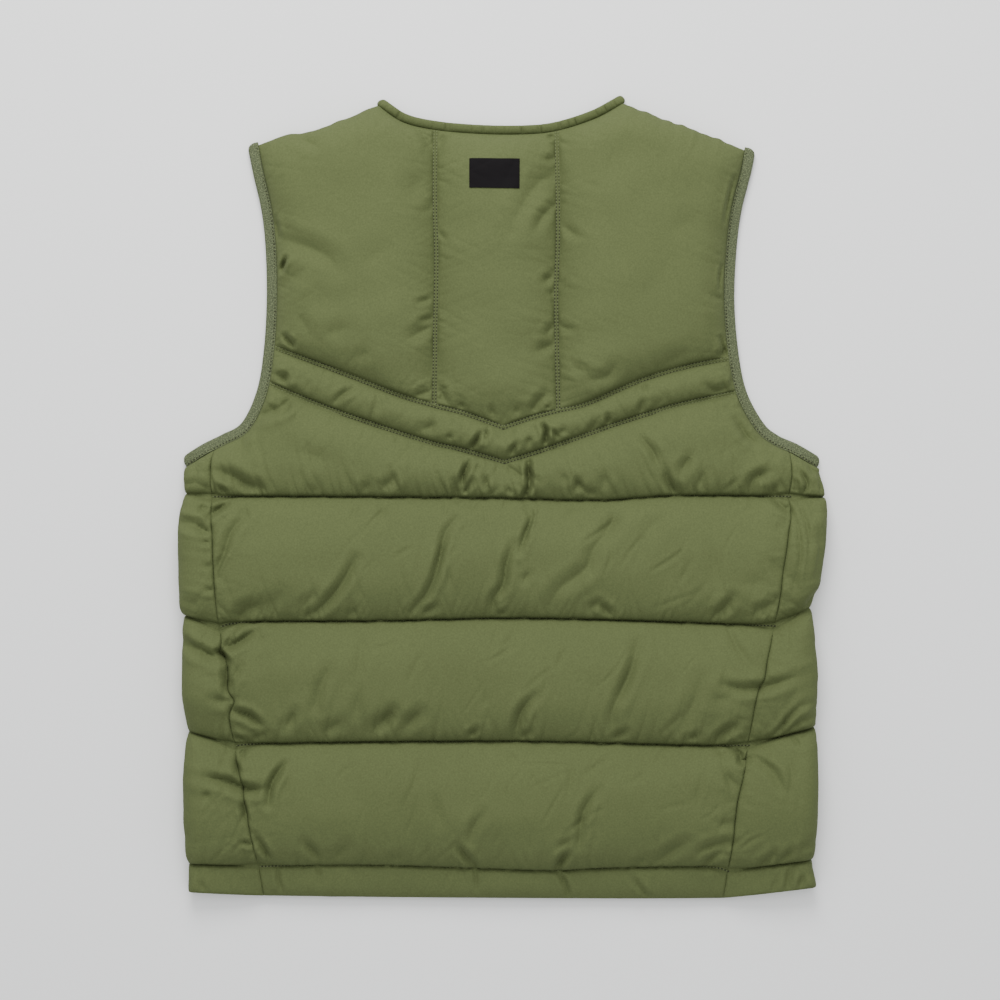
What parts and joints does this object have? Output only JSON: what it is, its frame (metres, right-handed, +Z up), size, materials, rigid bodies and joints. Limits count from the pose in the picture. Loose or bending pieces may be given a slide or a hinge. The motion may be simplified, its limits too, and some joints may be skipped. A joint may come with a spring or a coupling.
{
  "type": "quilted puffer vest laid flat",
  "caption": "Collarless quilted vest laid flat on its front, back up: panelled yoke over a stitched chevron and level padded channels, with taped armholes.",
  "frame": {"origin": "centre of the laid-out vest's outline, on the table under it", "axes": "+Y runs to the neck, +X to the wearer's right, +Z up through the back"},
  "size_m": [0.5583, 0.6961, 0.0394],
  "materials": {
    "shell_fabric": "matt plain-woven olive shell cloth over padding",
    "binding_tape": "ribbed woven tape, slightly greyer olive",
    "label_weave": "close satin-woven black patch",
    "stud_metal": "dark olive coated press stud caps",
    "thread": "twisted polyester sewing thread"
  },
  "bodies": {
    "root": {"back_yoke_left": "shell_fabric", "back_yoke_centre": "shell_fabric", "back_yoke_right": "shell_fabric", "back_chevron": "shell_fabric", "back_body": "shell_fabric", "front_yoke_left": "shell_fabric", "front_yoke_right": "shell_fabric", "front_body_left": "shell_fabric", "front_body_right": "shell_fabric", "front_placket": "shell_fabric", "neck_band": "shell_fabric", "armhole_binding_left": "binding_tape", "armhole_binding_right": "binding_tape", "back_label": "label_weave", "press_stud_1": "stud_metal", "press_stud_2": "stud_metal", "press_stud_3": "stud_metal", "press_stud_4": "stud_metal", "press_stud_5": "stud_metal", "press_stud_6": "stud_metal"}
  },
  "joints": []
}
